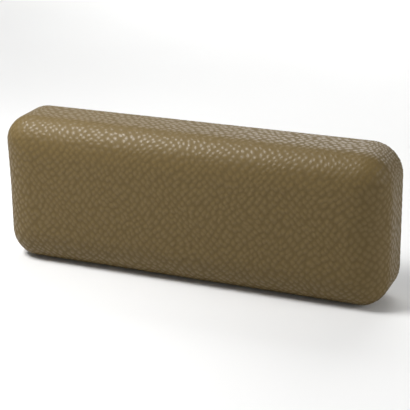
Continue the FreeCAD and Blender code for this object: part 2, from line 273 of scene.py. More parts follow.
def make_object(name, points, faces, material=None):
    """A smooth-shaded mesh object with one material."""
    mesh = bpy.data.meshes.new(name)
    mesh.from_pydata(np.asarray(points).tolist(), [], faces)
    mesh.update()
    mesh.shade_smooth()
    piece = bpy.data.objects.new(name, mesh)
    bpy.context.scene.collection.objects.link(piece)
    if material:
        mesh.materials.append(material)
    return piece


def settle(piece):
    """Applies every modifier of the piece."""
    graph = bpy.context.evaluated_depsgraph_get()
    shaped = piece.evaluated_get(graph)
    mesh = bpy.data.meshes.new_from_object(shaped, preserve_all_data_layers=True, depsgraph=graph)
    piece.modifiers.clear()
    old = piece.data
    piece.data = mesh
    bpy.data.meshes.remove(old)
    mesh.name = piece.name


def read_points(mesh):
    """The mesh's vertices as an array."""
    flat = np.empty(len(mesh.vertices) * 3, np.float32)
    mesh.vertices.foreach_get("co", flat)
    return flat.reshape(-1, 3).astype(float)


def write_points(mesh, points):
    """Moves the mesh's vertices."""
    mesh.vertices.foreach_set("co", np.asarray(points, np.float32).ravel())
    mesh.update()


def write_attribute(mesh, name, kind, values):
    """Stores a value at every vertex, for materials and modifiers."""
    attribute = mesh.attributes.new(name, kind, "POINT")
    field = "vector" if kind == "FLOAT_VECTOR" else "value"
    attribute.data.foreach_set(field, np.asarray(values, np.float32).ravel())


# Materials


class Look:
    """A procedural material, built node by node."""

    def __init__(self, name, roughness=0.5, metallic=0.0, specular=0.5):
        self.material = bpy.data.materials.new(name)
        self.material.use_nodes = True
        self.tree = self.material.node_tree
        self.shader = self.tree.nodes["Principled BSDF"]
        self.set(self.shader, "Roughness", roughness)
        self.set(self.shader, "Metallic", metallic)
        self.set(self.shader, "Specular IOR Level", specular)
        self.place = self.tree.nodes.new("ShaderNodeTexCoord").outputs["Object"]

    def set(self, node, socket, value):
        """Links value to the socket if it is another node's output, and writes it there if not."""
        if isinstance(value, bpy.types.NodeSocket):
            self.tree.links.new(value, node.inputs[socket])
        else:
            node.inputs[socket].default_value = value

    def stored(self, name, output="Vector"):
        """An attribute of the mesh."""
        node = self.tree.nodes.new("ShaderNodeAttribute")
        node.attribute_name = name
        return node.outputs[output]

    def stretched(self, vector, scale):
        """The coordinates, scaled along each axis."""
        node = self.tree.nodes.new("ShaderNodeMapping")
        node.inputs["Scale"].default_value = scale
        self.set(node, "Vector", vector)
        return node.outputs["Vector"]

    def noise(self, scale, detail=2.0, roughness=0.5, vector=None):
        """Soft noise with features about 1 / scale metres across."""
        node = self.tree.nodes.new("ShaderNodeTexNoise")
        self.set(node, "Vector", vector or self.place)
        self.set(node, "Scale", scale)
        self.set(node, "Detail", detail)
        self.set(node, "Roughness", roughness)
        return node.outputs["Fac"]

    def cells(self, cell, feature="DISTANCE_TO_EDGE", vector=None, dimensions="3D", randomness=1.0):
        """A cell pattern, each cell about this many metres across."""
        node = self.tree.nodes.new("ShaderNodeTexVoronoi")
        node.feature = feature
        node.voronoi_dimensions = dimensions
        self.set(node, "Vector", vector or self.place)
        self.set(node, "Scale", 1 / cell)
        self.set(node, "Randomness", randomness)
        return node.outputs["Distance"]

    def ramped(self, value, low, high, to_low=0.0, to_high=1.0):
        """Carries value's stretch from low to high smoothly over to another stretch."""
        node = self.tree.nodes.new("ShaderNodeMapRange")
        node.interpolation_type = "SMOOTHSTEP"
        self.set(node, "Value", value)
        self.set(node, "From Min", low)
        self.set(node, "From Max", high)
        self.set(node, "To Min", to_low)
        self.set(node, "To Max", to_high)
        return node.outputs["Result"]

    def maths(self, operation, first, second):
        """One sum."""
        node = self.tree.nodes.new("ShaderNodeMath")
        node.operation = operation
        self.set(node, 0, first)
        self.set(node, 1, second)
        return node.outputs["Value"]

    def mixed(self, amount, first, second, blend="MIX"):
        """A blend of two colours."""
        node = self.tree.nodes.new("ShaderNodeMix")
        node.data_type = "RGBA"
        node.blend_type = blend
        self.set(node, 0, amount)
        self.set(node, 6, first)
        self.set(node, 7, second)
        return node.outputs[2]

    def bump(self, height, distance, strength=1.0, under=None):
        """Tilts the surface by a height pattern, distance metres deep."""
        node = self.tree.nodes.new("ShaderNodeBump")
        self.set(node, "Height", height)
        self.set(node, "Distance", distance)
        self.set(node, "Strength", strength)
        if under:
            self.set(node, "Normal", under)
        return node.outputs["Normal"]

    def finish(self, colour, roughness=None, normal=None):
        """Connects the shader."""
        self.set(self.shader, "Base Color", colour)
        if roughness is not None:
            self.set(self.shader, "Roughness", roughness)
        if normal is not None:
            self.set(self.shader, "Normal", normal)
        return self.material


def vinyl_look():
    """Olive-taupe vinyl: pebbles with duller valleys painted darker as shade, fine pores, and a painted
    highlight along the upper front edge.
    """
    look = Look("pebble_vinyl", specular=0.34)
    flat = look.stored("sheet")
    away = look.cells(GRAIN_CELL, "F1", vector=flat, dimensions="2D", randomness=GRAIN_RANDOM)
    pebble = look.ramped(away, GRAIN_TOP, GRAIN_FOOT, 1.0, 0.0)
    creases = look.ramped(look.cells(1.8 * MM, vector=flat, dimensions="2D"), 0.0, 0.2)
    pores = look.noise(2600, detail=3)
    blotches = look.ramped(look.noise(28, detail=3), 0.3, 0.7)
    # The upward-facing part of the front edge is painted a lighter tone: a painted highlight along the
    # ridge where the key light falls. Its roughness is also set a little lower.
    painted_highlight = look.stored("painted_highlight", "Fac")
    # The valleys between the pebbles are painted darker than the pebbles: painted shade in the creases, on
    # top of the bump.
    valley_shade_tone = (0.104, 0.069, 0.020, 1)
    pebble_tone = (0.128, 0.085, 0.025, 1)
    highlight_tone = (0.162, 0.112, 0.040, 1)
    colour = look.mixed(pebble, valley_shade_tone, pebble_tone)
    colour = look.mixed(look.maths("MULTIPLY", painted_highlight, 0.6), colour, highlight_tone)
    shade = look.ramped(blotches, 0.0, 1.0, 0.0, 0.06)
    colour = look.mixed(shade, colour, (0.100, 0.065, 0.021, 1))
    roughness = look.ramped(pebble, 0.0, 1.0, 0.72, 0.41)
    roughness = look.maths("ADD", roughness, look.ramped(pores, 0.2, 0.8, -0.04, 0.05))
    roughness = look.maths("SUBTRACT", roughness, look.maths("MULTIPLY", painted_highlight, 0.04))
    normal = look.bump(look.maths("MULTIPLY", pebble, look.stored("grain", "Fac")), GRAIN_DEPTH, 0.8)
    normal = look.bump(creases, 0.04 * MM, 0.7, normal)
    normal = look.bump(pores, 0.01 * MM, 0.5, normal)
    return look.finish(colour, roughness, normal)


def foam_look(name, pale, deep, cell):
    """Open-cell foam: small dark pores between pale walls."""
    look = Look(name, roughness=0.9, specular=0.2)
    pores = look.ramped(look.cells(cell), 0.0, 0.3)
    patches = look.noise(60, detail=3)
    colour = look.mixed(pores, pale, deep)
    colour = look.mixed(look.ramped(patches, 0.3, 0.8, 0.0, 0.25), colour, deep)
    return look.finish(colour, normal=look.bump(pores, cell * 0.4, 0.8))


def wadding_look():
    """White polyester fibre, combed along the pad."""
    look = Look("polyester_fibre", roughness=0.95, specular=0.15)
    fibres = look.noise(900, detail=5, roughness=0.7, vector=look.stretched(look.place, (0.12, 1, 1)))
    tufts = look.noise(90, detail=4)
    colour = look.mixed(look.ramped(fibres, 0.3, 0.7), (0.62, 0.62, 0.60, 1), (0.86, 0.86, 0.84, 1))
    colour = look.mixed(look.ramped(tufts, 0.4, 0.8, 0.0, 0.3), colour, (0.55, 0.55, 0.53, 1))
    return look.finish(colour, normal=look.bump(fibres, 0.4 * MM, 0.7))


def plywood_look():
    """Birch plywood: grain along the pad on its faces, and thin crossed plies on its edges."""
    look = Look("birch_plywood", roughness=0.6, specular=0.3)
    rings = look.noise(160, detail=6, roughness=0.6, vector=look.stretched(look.place, (0.06, 1, 1)))
    fibres = look.noise(1400, detail=3, vector=look.stretched(look.place, (0.03, 1, 1)))
    split = look.tree.nodes.new("ShaderNodeSeparateXYZ")
    look.set(split, "Vector", look.place)
    ply = look.maths("FRACT", look.maths("DIVIDE", split.outputs["Y"], 2.4 * MM), 0.0)
    glue = look.ramped(look.maths("ABSOLUTE", look.maths("SUBTRACT", ply, 0.5), 0.0), 0.44, 0.5)
    colour = look.mixed(look.ramped(rings, 0.35, 0.65), (0.62, 0.43, 0.24, 1), (0.45, 0.28, 0.13, 1))
    colour = look.mixed(look.ramped(fibres, 0.4, 0.7, 0.0, 0.35), colour, (0.33, 0.19, 0.09, 1))
    colour = look.mixed(look.maths("MULTIPLY", glue, 0.6), colour, (0.16, 0.09, 0.045, 1))
    normal = look.bump(fibres, 0.08 * MM, 0.6)
    return look.finish(colour, look.ramped(rings, 0.3, 0.7, 0.55, 0.7), normal)


def plated_look(name, bright, dull, roughness):
    """Zinc-plated steel: bright, with a cloudy film and fine drawing marks."""
    look = Look(name, roughness=roughness, metallic=1.0)
    film = look.noise(500, detail=4)
    marks = look.noise(4000, detail=2, vector=look.stretched(look.place, (1, 0.15, 1)))
    colour = look.mixed(look.ramped(film, 0.3, 0.7), bright, dull)
    rough = look.ramped(film, 0.3, 0.7, roughness - 0.06, roughness + 0.14)
    return look.finish(colour, rough, look.bump(marks, 0.02 * MM, 0.5))


def non_woven_look():
    """Black spun-bonded cloth: matted fibres, pinched flat at rows of small bonds."""
    look = Look("black_non_woven", roughness=0.7, specular=0.32)
    bonds = look.ramped(look.cells(1.6 * MM, "F1", randomness=0.15), 0.18, 0.34)
    fibres = look.noise(1800, detail=5, roughness=0.75, vector=look.stretched(look.place, (1, 1, 0.35)))
    clouds = look.noise(120, detail=3)
    colour = look.mixed(look.ramped(fibres, 0.35, 0.7), (0.006, 0.006, 0.007, 1), (0.022, 0.022, 0.024, 1))
    colour = look.mixed(look.ramped(bonds, 0.0, 1.0, 0.35, 0.0), colour, (0.004, 0.004, 0.005, 1))
    colour = look.mixed(look.ramped(clouds, 0.35, 0.75, 0.0, 0.3), colour, (0.032, 0.032, 0.034, 1))
    rough = look.ramped(bonds, 0.0, 1.0, 0.40, 0.62)
    normal = look.bump(bonds, 0.15 * MM, 0.6)
    return look.finish(colour, rough, look.bump(fibres, 0.12 * MM, 0.7, normal))


def floor_look():
    """A pale, matt studio floor."""
    look = Look("pale_floor", roughness=0.9, specular=0.1)
    cloud = look.noise(3, detail=2)
    shade = look.ramped(cloud, 0.3, 0.7)
    return look.finish(look.mixed(shade, (0.80, 0.80, 0.795, 1), (0.82, 0.82, 0.815, 1)))


# The swelling of the foam under its cover

BLOCK_VOXEL = 5 * MM
SWELL_FRAMES = 20
SWELL_PRESSURE = 4.0
SMOOTHING = 12


def closed_block(inset, front_steps, rear_depth, counts):
    """A closed body inside the pad: the padded side down to a depth, and a flat back."""
    profile = meridian(inset)
    front = surface(profile, front_steps, counts)
    rim_out = float(profile(front_steps[-1])[0])
    back_steps = np.linspace(0, rim_out, 5)[1:]
    back = surface(flat_back(rear_depth), back_steps, counts)
    back["faces"] = [face[::-1] for face in back["faces"]]
    back["normals"] = -back["normals"]
    return joined(front, dict(back, faces=[face[::-1] for face in back["faces"]]))


def swelling():
    """Blows the padded side out by cloth simulation. Returns a function from points to movement."""
    profile = meridian(0)
    steps = np.linspace(0, profile.rear_end, 21)[1:]
    block = closed_block(0, steps, COVER_HIGH.y, (52, 14, 8))
    piece = make_object("swell_block", block["points"], block["faces"])
    remesh = piece.modifiers.new("even", "REMESH")
    remesh.mode = "VOXEL"
    remesh.voxel_size = BLOCK_VOXEL
    settle(piece)
    rest = read_points(piece.data)
    held = piece.vertex_groups.new(name="held")
    held.add([int(i) for i in np.flatnonzero(rest[:, 1] > BOARD_LOW.y)], 1.0, "REPLACE")
    cloth = piece.modifiers.new("swell", "CLOTH")
    cloth.settings.use_pressure = True
    cloth.settings.uniform_pressure_force = SWELL_PRESSURE
    cloth.settings.vertex_group_mass = "held"
    cloth.settings.effector_weights.gravity = 0
    cloth.point_cache.frame_end = SWELL_FRAMES
    scene = bpy.context.scene
    for step in range(1, SWELL_FRAMES + 1):
        scene.frame_set(step)
    settle(piece)
    moved = read_points(piece.data) - rest
    ends = np.array([tuple(edge.vertices) for edge in piece.data.edges])
    moved = evened(moved, ends)
    moved[:, 1] *= CROWN / np.abs(moved[:, 1]).max()
    sideways = np.abs(moved[:, [0, 2]]).max()
    moved[:, 0] *= SIDE_CROWN / sideways
    moved[:, 2] *= SIDE_CROWN / sideways
    triangles = [tuple(face.vertices) for face in piece.data.polygons]
    tree = BVHTree.FromPolygons(rest.tolist(), triangles)
    scene.frame_set(1)
    mesh = piece.data
    bpy.data.objects.remove(piece)
    bpy.data.meshes.remove(mesh)

    def movement(points):
        found = np.zeros_like(points)
        for number, point in enumerate(points):
            near, _, face, _ = tree.find_nearest(Vector(point))
            corners = np.array(triangles[face])
            weight = 1 / (np.linalg.norm(rest[corners] - np.array(near), axis=1) + 0.2 * MM)
            found[number] = (moved[corners] * weight[:, None]).sum(0) / weight.sum()
        return found

    return movement


def evened(moved, ends):
    """The movement of each vertex, averaged with its neighbours' a few times."""
    count = np.bincount(ends.ravel(), minlength=len(moved))[:, None]
    for _ in range(SMOOTHING):
        total = np.zeros_like(moved)
        np.add.at(total, ends[:, 0], moved[ends[:, 1]])
        np.add.at(total, ends[:, 1], moved[ends[:, 0]])
        moved = 0.5 * moved + 0.5 * total / count
    return moved


def shoulder_drop(points):
    """How far each point goes back where the front curves away to the sides, beyond the frame's round."""
    past_x = np.abs(points[:, 0] - PAD_CENTRE.x) - (PAD_SIZE.x / 2 - SHOULDER)
    past_z = np.abs(points[:, 2] - PAD_CENTRE.z) - (PAD_SIZE.z / 2 - SHOULDER)
    past = np.hypot(np.maximum(past_x, 0), np.maximum(past_z, 0))
    soft = FRONT_ROUND * (1 - np.sqrt(np.clip(1 - (past / SHOULDER) ** 2, 0, 1)))
    over = np.clip(past - (SHOULDER - FRONT_ROUND), 0, FRONT_ROUND)
    plain = FRONT_ROUND - np.sqrt(FRONT_ROUND**2 - over**2)
    in_front = 1 - smooth_step(COVER_LOW.y + 10 * MM, COVER_LOW.y + FRONT_ROUND, points[:, 1])
    drop = np.zeros_like(points)
    drop[:, 1] = np.where(past < SHOULDER, np.maximum(soft - plain, 0), 0) * in_front
    return drop


crown = swelling()


def swell(points):
    """The movement of points of the padded body from the frame's plain form to the upholstered one."""
    return crown(points) + shoulder_drop(points)


# The cover

SKIN_STEP = 1.0 * MM
SKIN_RATIO = 6  # outer face's points for each inner face's point
PLEATS = 6  # folds at each rear corner
PLEAT_HEIGHT = 1.5 * MM
RIPPLE_HEIGHT = 0.14 * MM


def multiple(length, step, of):
    """How many steps fit a length, as a multiple of a whole number."""
    return max(1, round(length / step / of)) * of


def gathers(body, profile):
    """How far the vinyl stands out where it is gathered round the rear corners."""
    angle = body["angle"]
    along = body["along"]
    quarter = (angle / (math.pi / 2)) % 1
    at_corner = np.sin(math.pi * quarter) ** 0.5
    wander = quarter + 0.035 * np.sin(7 * angle + 1.3) + 0.02 * np.sin(17 * angle)
    phase = (wander * PLEATS) % 1
    fold = np.where(phase < 0.72, phase / 0.72, (1 - phase) / 0.28)
    fold = smooth_step(0, 1, fold)
    uneven = 0.75 + 0.25 * np.sin(5 * angle + 0.7)
    grown = smooth_step(profile.rear_start + 1 * MM, profile.rear_end + 5 * MM, along)
    pleats = PLEAT_HEIGHT * fold * uneven * grown * at_corner
    middle_of_side = (profile.side_start + profile.rear_start) / 2
    begun = smooth_step(middle_of_side, profile.rear_start, along)
    ripples = RIPPLE_HEIGHT * (np.sin(2 * math.pi * wander * 11) - 1) * begun * (1 - grown) * at_corner
    return pleats + ripples


def grain_relief(piece):
    """Presses the valleys between the pebbles into the mesh, by the same cells that its material shows."""
    tree = bpy.data.node_groups.new("pebbles", "GeometryNodeTree")
    tree.interface.new_socket("Geometry", in_out="INPUT", socket_type="NodeSocketGeometry")
    tree.interface.new_socket("Geometry", in_out="OUTPUT", socket_type="NodeSocketGeometry")
    source = tree.nodes.new("NodeGroupInput")
    target = tree.nodes.new("NodeGroupOutput")
    sheet = tree.nodes.new("GeometryNodeInputNamedAttribute")
    sheet.data_type = "FLOAT_VECTOR"
    sheet.inputs["Name"].default_value = "sheet"
    depth = tree.nodes.new("GeometryNodeInputNamedAttribute")
    depth.data_type = "FLOAT"
    depth.inputs["Name"].default_value = "grain"
    cells = tree.nodes.new("ShaderNodeTexVoronoi")
    cells.voronoi_dimensions = "2D"
    cells.feature = "F1"
    cells.inputs["Scale"].default_value = 1 / GRAIN_CELL
    cells.inputs["Randomness"].default_value = GRAIN_RANDOM
    pebble = tree.nodes.new("ShaderNodeMapRange")
    pebble.interpolation_type = "SMOOTHSTEP"
    pebble.inputs["From Min"].default_value = GRAIN_TOP
    pebble.inputs["From Max"].default_value = GRAIN_FOOT
    pebble.inputs["To Min"].default_value = GRAIN_DEPTH / 2
    pebble.inputs["To Max"].default_value = -GRAIN_DEPTH / 2
    scaled = tree.nodes.new("ShaderNodeMath")
    scaled.operation = "MULTIPLY"
    normal = tree.nodes.new("GeometryNodeInputNormal")
    offset = tree.nodes.new("ShaderNodeVectorMath")
    offset.operation = "SCALE"
    shift = tree.nodes.new("GeometryNodeSetPosition")
    for start, end in (
        (sheet.outputs["Attribute"], cells.inputs["Vector"]),
        (cells.outputs["Distance"], pebble.inputs["Value"]),
        (pebble.outputs["Result"], scaled.inputs[0]),
        (depth.outputs["Attribute"], scaled.inputs[1]),
        (normal.outputs["Normal"], offset.inputs["Vector"]),
        (scaled.outputs["Value"], offset.inputs["Scale"]),
        (source.outputs["Geometry"], shift.inputs["Geometry"]),
        (offset.outputs["Vector"], shift.inputs["Offset"]),
        (shift.outputs["Geometry"], target.inputs["Geometry"]),
    ):
        tree.links.new(start, end)
    relief = piece.modifiers.new("pebbles", "NODES")
    relief.node_group = tree
    settle(piece)
    bpy.data.node_groups.remove(tree)


def slanted(flat):
    """The flat sheet's coordinates for the grain, bent and turned so that its rows wander and slant."""
    x, z = flat[:, 0], flat[:, 1]
    across = x + GRAIN_WANDER * np.sin(z / (9 * MM) + 2 * np.sin(x / (17 * MM)))
    up = z + GRAIN_WANDER * np.sin(x / (8 * MM) + 2 * np.sin(z / (15 * MM)))
    up /= GRAIN_TALL
    return np.stack([across + up, up - across, 0 * up], axis=1) / math.sqrt(2)


def make_cover(material):
    """The vinyl cover: one sheet, grained outside, smooth inside, turned in with gathered corners."""
    outer_profile = meridian(0)
    end = outer_profile.rear_end + TURN_IN - REAR_ROUND
    steps = np.linspace(0, end, round(end / SKIN_STEP) + 1)[1:]
    long_count = multiple(2 * HALF_X, SKIN_STEP, SKIN_RATIO)
    short_count = multiple(2 * HALF_Z, SKIN_STEP, SKIN_RATIO)
    corner_count = multiple(CORNER * math.pi / 2, 0.75 * SKIN_STEP, SKIN_RATIO)
    counts = (long_count, short_count, corner_count)
    outer = surface(outer_profile, steps, counts)
    inner_profile = meridian(SKIN)
    inner_end = inner_profile.rear_end + TURN_IN - REAR_ROUND
    inner_steps = np.linspace(0, inner_end, 25)[1:]
    inner = surface(inner_profile, inner_steps, [count // SKIN_RATIO for count in counts])
    body = joined(outer, inner)
    outside = np.arange(len(body["points"])) < body["outer_count"]
    rise = gathers(body, outer_profile) * outside
    points = body["points"] + body["normals"] * rise[:, None]
    points += swell(body["points"])
    piece = make_object("cover_skin", points, body["faces"], material)
    along = body["along"]
    on_edge = smooth_step(2 * MM, 14 * MM, along) * (1 - smooth_step(20 * MM, 36 * MM, along))
    on_side = smooth_step(24 * MM, 40 * MM, along)
    grain = outside * (1 - 0.15 * on_edge) * (1 - SIDE_STRETCH * on_side)
    write_attribute(piece.data, "sheet", "FLOAT_VECTOR", slanted(body["flat"]))
    write_attribute(piece.data, "grain", "FLOAT", grain)
    # This attribute marks the upward-facing part of the front edge, where the material paints a highlight
    # in a lighter colour.
    upper = smooth_step(0.1, 0.7, body["normals"][:, 2])
    write_attribute(piece.data, "painted_highlight", "FLOAT", on_edge * outside * upper)
    grain_relief(piece)
    settled = read_points(piece.data)
    settled[:, 2] = np.maximum(settled[:, 2], PAD_LOW.z)
    write_points(piece.data, settled)
    piece.data.shade_smooth()
    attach(piece, "root")
    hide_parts("cover")
    return piece


# Wadding and foam


def depth_steps(profile, depth, count):
    """Even steps along a profile from its start to where its side reaches a depth."""
    side_depth = float(profile(profile.side_start)[1])
    end = profile.side_start + depth - side_depth
    return np.linspace(0, end, count + 1)[1:]


def soft_piece(name, body, material, lumps):
    """A closed soft body that has swollen with the pad and has small lumps."""
    points = body["points"] + swell(body["points"])
    lump = lumps * np.sin(points @ [410, 530, 370]) * np.sin(points @ [-290, 610, 480])
    points = points - body["normals"] * np.abs(lump)[:, None]
    piece = make_object(name, points, body["faces"], material)
    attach(piece, "root")
    return piece


def make_wadding(material):
    """The polyester layer over the foam, open behind."""
    counts = (104, 28, 16)
    outer_profile = meridian(SKIN + 0.1 * MM)
    inner_profile = meridian(SKIN + WADDING - 0.1 * MM)
    outer = surface(outer_profile, depth_steps(outer_profile, WADDING_HIGH.y, 30), counts)
    inner = surface(inner_profile, depth_steps(inner_profile, WADDING_HIGH.y, 30), counts)
    piece = soft_piece("wadding_layer", joined(outer, inner), material, 0.12 * MM)
    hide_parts("wadding")


def make_comfort_foam(material):
    """The soft front foam with its rounded front edges."""
    profile = meridian(SKIN + WADDING + 0.1 * MM)
    steps = depth_steps(profile, SOFT_HIGH.y - 0.1 * MM, 24)
    body = closed_block(SKIN + WADDING + 0.1 * MM, steps, SOFT_HIGH.y - 0.1 * MM, (78, 21, 12))
    piece = soft_piece("comfort_foam_block", body, material, 0.15 * MM)
    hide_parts("comfort_foam")


def make_support_foam(material):
    """The firm foam on the board, cut square."""
    inset = SKIN + WADDING + 0.1 * MM
    radius = CORNER - inset
    counts = (78, 21, 12)
    depths = np.linspace(FIRM_LOW.y + 0.1 * MM, FIRM_HIGH.y - 0.1 * MM, 7)

    def square(along):
        along = np.asarray(along, float)
        down = np.clip(along - radius, 0, depths[-1] - depths[0])
        on_side = along > radius
        return np.minimum(along, radius), depths[0] + down, on_side * 1.0, on_side * 1.0 - 1.0

    steps = np.concatenate([np.linspace(0, radius, 6)[1:], radius + depths[1:] - depths[0]])
    front = surface(square, steps, counts)
    back = surface(flat_back(depths[-1]), np.linspace(0, radius, 6)[1:], counts)
    piece = soft_piece("support_foam_block", joined(front, back), material, 0.15 * MM)
    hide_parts("support_foam")


# The dust cover and its staples

SHEET_CORNER = 13.5 * MM
SHEET_HOLE = 7 * MM
SHEET_THICKNESS = 0.3 * MM
SHEET_SPACING = 1.9 * MM
HEM = 10 * MM
HEM_STEP = 0.25 * MM
SAG = 0.9 * MM
PUCKER = 1.3 * MM
WIRE_WIDTH = 0.8 * MM
WIRE_THICKNESS = 0.5 * MM
CROWN_RISE = 0.35 * MM  # the wire's middle, above the sheet's face in the frame
CROWN_LENGTH = 9.5 * MM
LEG = 8 * MM
SIDES = ("bottom", "top", "left", "right")
NUTS = ("left_bottom", "left_top", "right_bottom", "right_top")


def staple_places(node):
    """The middle of each staple's crown in a row of CAD staples, and whether the row runs along X."""
    points = read_points(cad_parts[node].data)
    low, high = points.min(0), points.max(0)
    axis = 0 if high[0] - low[0] > high[2] - low[2] else 2
    along = np.sort(points[:, axis])
    breaks = np.flatnonzero(np.diff(along) > 1.2 * CROWN_LENGTH)
    starts = along[np.concatenate([[0], breaks + 1])]
    ends = along[np.concatenate([breaks, [len(along) - 1]])]
    middle = (low + high) / 2
    places = []
    for centre in (starts + ends) / 2:
        place = middle.copy()
        place[axis] = centre
        places.append((float(place[0]), float(place[2])))
    return places, axis == 0


def rounded_outline(low, high, radius, spacing):
    """Points round a rectangle with round corners, in order."""
    centres = [(high[0] - radius, low[1] + radius), (high[0] - radius, high[1] - radius)]
    centres += [(low[0] + radius, high[1] - radius), (low[0] + radius, low[1] + radius)]
    arc_count = max(3, round(radius * math.pi / 2 / spacing))
    outline = []
    for number, (x, z) in enumerate(centres):
        angles = np.radians(-90 + 90 * number + 90 * np.arange(arc_count + 1) / arc_count)
        arc = np.stack([x + radius * np.cos(angles), z + radius * np.sin(angles)], 1)
        if outline:
            outline.append(between(outline[-1][-1], arc[0], spacing))
        outline.append(arc)
    outline.append(between(outline[-1][-1], outline[0][0], spacing))
    return np.concatenate(outline)


def between(start, end, spacing):
    """Evenly spaced points inside a straight run, without its ends."""
    count = max(1, round(float(np.linalg.norm(end - start)) / spacing))
    share = np.arange(1, count)[:, None] / count
    return start + (end - start) * share


def make_dust_cover(material):
    """The black sheet over the back: stapled near its edge, with a little slack between the staples."""
    low = np.array([SHEET_LOW.x, SHEET_LOW.z])
    high = np.array([SHEET_HIGH.x, SHEET_HIGH.z])
    staples = []
    for side in SIDES:
        staples += staple_places(f"dust_cover_staples_{side}")[0]
    staples = np.array(staples)
    centres = []
    for name in NUTS:
        nut_low, nut_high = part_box(f"tee_nut_{name}")
        centres.append([(nut_low.x + nut_high.x) / 2, (nut_low.z + nut_high.z) / 2])
    centres = np.array(centres)

    outline = rounded_outline(low, high, SHEET_CORNER, SHEET_SPACING)
    loops = [outline]
    for centre in centres:
        angles = np.linspace(0, 2 * math.pi, 28, endpoint=False)
        ragged = SHEET_HOLE + 0.25 * MM * np.sin(5 * angles + centre[0] * 90)
        ragged = ragged + 0.12 * MM * np.sin(11 * angles)
        loops.append(centre + ragged[:, None] * np.stack([np.cos(angles), np.sin(angles)], 1))
    xs = np.arange(low[0] + SHEET_SPACING, high[0], SHEET_SPACING)
    zs = np.arange(low[1] + SHEET_SPACING, high[1], SHEET_SPACING)
    inner = np.stack([grid.ravel() for grid in np.meshgrid(xs, zs)], 1)
    inner += rng.uniform(-0.25, 0.25, inner.shape) * SHEET_SPACING
    middle = (low + high) / 2
    reach = (high - low) / 2 - SHEET_CORNER
    past = np.maximum(np.abs(inner - middle) - reach, 0)
    inside = np.linalg.norm(past, axis=1) < SHEET_CORNER - 0.6 * SHEET_SPACING
    for centre in centres:
        inside &= np.linalg.norm(inner - centre, axis=1) > SHEET_HOLE + 0.8 * SHEET_SPACING
    edges, start = [], 0
    for loop in loops:
        edges += [(start + i, start + (i + 1) % len(loop)) for i in range(len(loop))]
        start += len(loop)
    flat = np.concatenate([*loops, inner[inside]])
    found = delaunay_2d_cdt([Vector(p) for p in flat], edges, [], 0, 1e-7)
    flat = np.array([tuple(p) for p in found[0]])
    faces = []
    for face in found[2]:
        amid = flat[list(face)].mean(0)
        past = np.maximum(np.abs(amid - middle) - reach, 0)
        in_hole = np.linalg.norm(centres - amid, axis=1).min() < SHEET_HOLE - 0.3 * MM
        if np.linalg.norm(past) < SHEET_CORNER and not in_hole:
            faces.append(list(face)[::-1])

    depth = sheet_depth(flat, staples, centres, middle, (high - low) / 2)
    points = np.stack([flat[:, 0], depth, flat[:, 1]], 1)
    piece = make_object("dust_cover_sheet", points, faces, material)
    if piece.data.polygons[0].normal.y < 0:
        piece.data.flip_normals()
    thick = piece.modifiers.new("thickness", "SOLIDIFY")
    thick.thickness = SHEET_THICKNESS
    thick.offset = -1
    settle(piece)
    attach(piece, "root")
    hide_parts("dust_cover")
    return piece


def sheet_depth(flat, staples, centres, middle, half):
    """How far back the dust cover's face lies: held at staples, puckered between them, slack within."""
    nearest = np.linalg.norm(flat[:, None] - staples[None], axis=2).min(1)
    pressed = np.exp(-((nearest / (5 * MM)) ** 2))
    free = 1 - 0.95 * np.exp(-((nearest / (5.5 * MM)) ** 4))
    corner_gap = np.linalg.norm(np.abs(flat - middle) - (half - SHEET_CORNER), axis=1)
    over_pleats = 0.8 * MM * np.exp(-((corner_gap / (12 * MM)) ** 2))
    from_edge = (half - np.abs(flat - middle)).min(1)
    on_flange = 1 - smooth_step(9 * MM, 16 * MM, from_edge)
    hem = HEM_STEP * (1 - smooth_step(HEM - 1 * MM, HEM + 1 * MM, from_edge)) * (1 - 0.7 * pressed)
    sag = -SAG * smooth_step(12 * MM, 34 * MM, from_edge)
    puckers = np.zeros(len(flat))
    for number, staple in enumerate(staples):
        puckers += pucker(flat, staple, middle, number)
    ripple = 0.22 * MM * np.sin(flat @ [150, 75]) * np.sin(flat @ [-60, 200])
    ripple = ripple + 0.10 * MM * np.sin(flat @ [420, 130] + 2 * np.sin(flat @ [90, -160]))
    lifted = 0.45 * MM * (1 - pressed) * on_flange * (0.6 + 0.4 * np.sin(flat @ [330, 410]))
    round_nuts = np.linalg.norm(flat[:, None] - centres[None], axis=2).min(1)
    curled = 0.5 * MM * np.exp(-(((round_nuts - SHEET_HOLE) / (2.5 * MM)) ** 2))
    folds = free * (puckers + over_pleats) + ripple * (1 - on_flange)
    return SHEET_HIGH.y + sag + folds + hem + lifted + curled


def pucker(flat, staple, middle, number):
    """The two small folds that run in from one staple, with a length and a slant of their own."""
    inward = (middle - staple) * [0.35, 1.0]
    inward = inward / np.linalg.norm(inward)
    turn = 0.25 * math.sin(number * 1.7)
    inward = np.array([inward[0] - turn * inward[1], inward[1] + turn * inward[0]])
    offset = flat - staple
    along = offset @ inward
    aside = offset @ [-inward[1], inward[0]]
    width = 2.6 * MM + 0.13 * np.maximum(along, 0)
    height = PUCKER * (1 + 0.4 * math.sin(number * 2.4))
    length = (18 + 8 * math.sin(number * 3.1)) * MM
    fade = smooth_step(-1 * MM, 4 * MM, along) * np.exp(-np.maximum(along, 0) / length)
    across = aside / width
    return height * fade * (np.exp(-((across - 1.1) ** 2)) + np.exp(-((across + 1.1) ** 2)))


